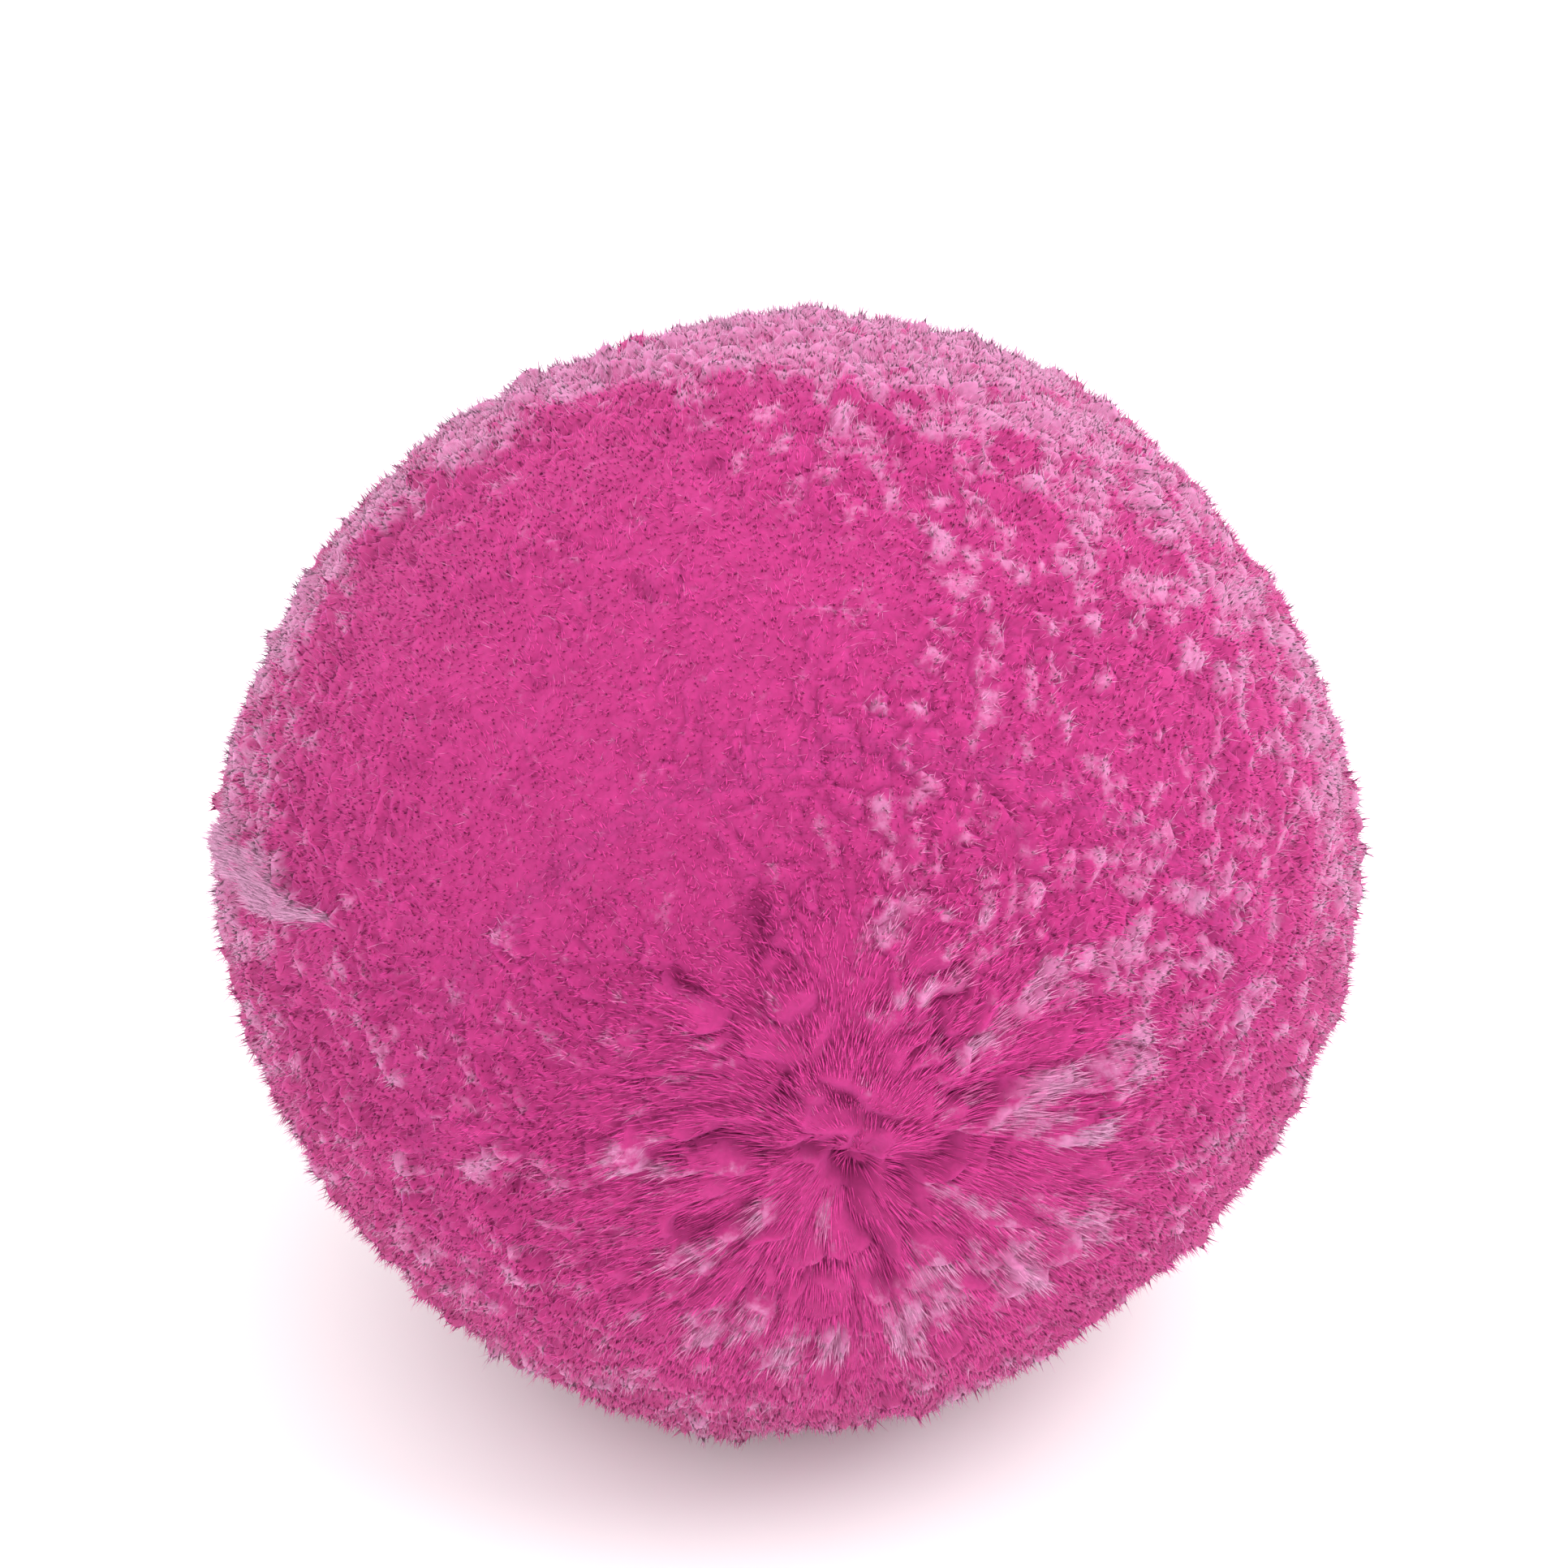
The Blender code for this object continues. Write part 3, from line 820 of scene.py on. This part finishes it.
# The studio: a plain pale floor, a white surround, and one soft key from the upper right.
studio = {
    "floorSize": 3.0,
    "floor": {"Base Color": (0.93, 0.93, 0.93, 1), "Roughness": 0.9, "Specular IOR Level": 0.0},
    "surround": 1.65,
    "keyTowards": (0.75, -0.35, 1.1),
    "keyDistance": 0.5,
    "keySize": 0.25,
    "keyPower": 0.8,
    "lens": 120,
    "sensor": 36,
    "clip": (0.01, 10),
    "width": 0.0618,  # how much of the scene the frame takes in at the ball
    "offset": (-0.00008, 0.0033),  # of the frame's middle from the ball's, right and up
}


def floorPiece():
    half = studio["floorSize"] / 2
    mesh = bpy.data.meshes.new("floor")
    corners = [(-half, -half, 0), (half, -half, 0), (half, half, 0), (-half, half, 0)]
    mesh.from_pydata(corners, [], [(0, 1, 2, 3)])
    material = bpy.data.materials.new("paleFloor")
    material.use_nodes = True
    setValues(material.node_tree.nodes["Principled BSDF"], studio["floor"])
    mesh.materials.append(material)
    floor = bpy.data.objects.new("floor", mesh)
    bpy.context.scene.collection.objects.link(floor)


def keyLight():
    data = bpy.data.lights.new("key", "AREA")
    data.shape = "DISK"
    data.size = studio["keySize"]
    data.energy = studio["keyPower"]
    lamp = bpy.data.objects.new("key", data)
    lamp.location = Vector(centre) + Vector(studio["keyTowards"]).normalized() * studio["keyDistance"]
    lamp.rotation_euler = (Vector(centre) - lamp.location).to_track_quat("-Z", "Y").to_euler()
    bpy.context.scene.collection.objects.link(lamp)


def placeCamera():
    data = bpy.data.cameras.new("camera")
    data.lens = studio["lens"]
    data.sensor_width = studio["sensor"]
    data.clip_start, data.clip_end = studio["clip"]
    distance = studio["width"] * data.lens / data.sensor_width
    aim = centre + viewRight * studio["offset"][0] + viewUp * studio["offset"][1]
    camera = bpy.data.objects.new("camera", data)
    camera.location = aim + viewBack * distance
    camera.rotation_euler = Vector(viewBack).to_track_quat("Z", "Y").to_euler()
    bpy.context.scene.collection.objects.link(camera)
    bpy.context.scene.camera = camera


floorPiece()
keyLight()
world = bpy.data.worlds.new("surround")
world.use_nodes = True
setValues(world.node_tree.nodes["Background"], {"Color": (1, 1, 1, 1), "Strength": studio["surround"]})
bpy.context.scene.world = world
bpy.context.scene.view_settings.view_transform = "Standard"
placeCamera()
print("studio made")
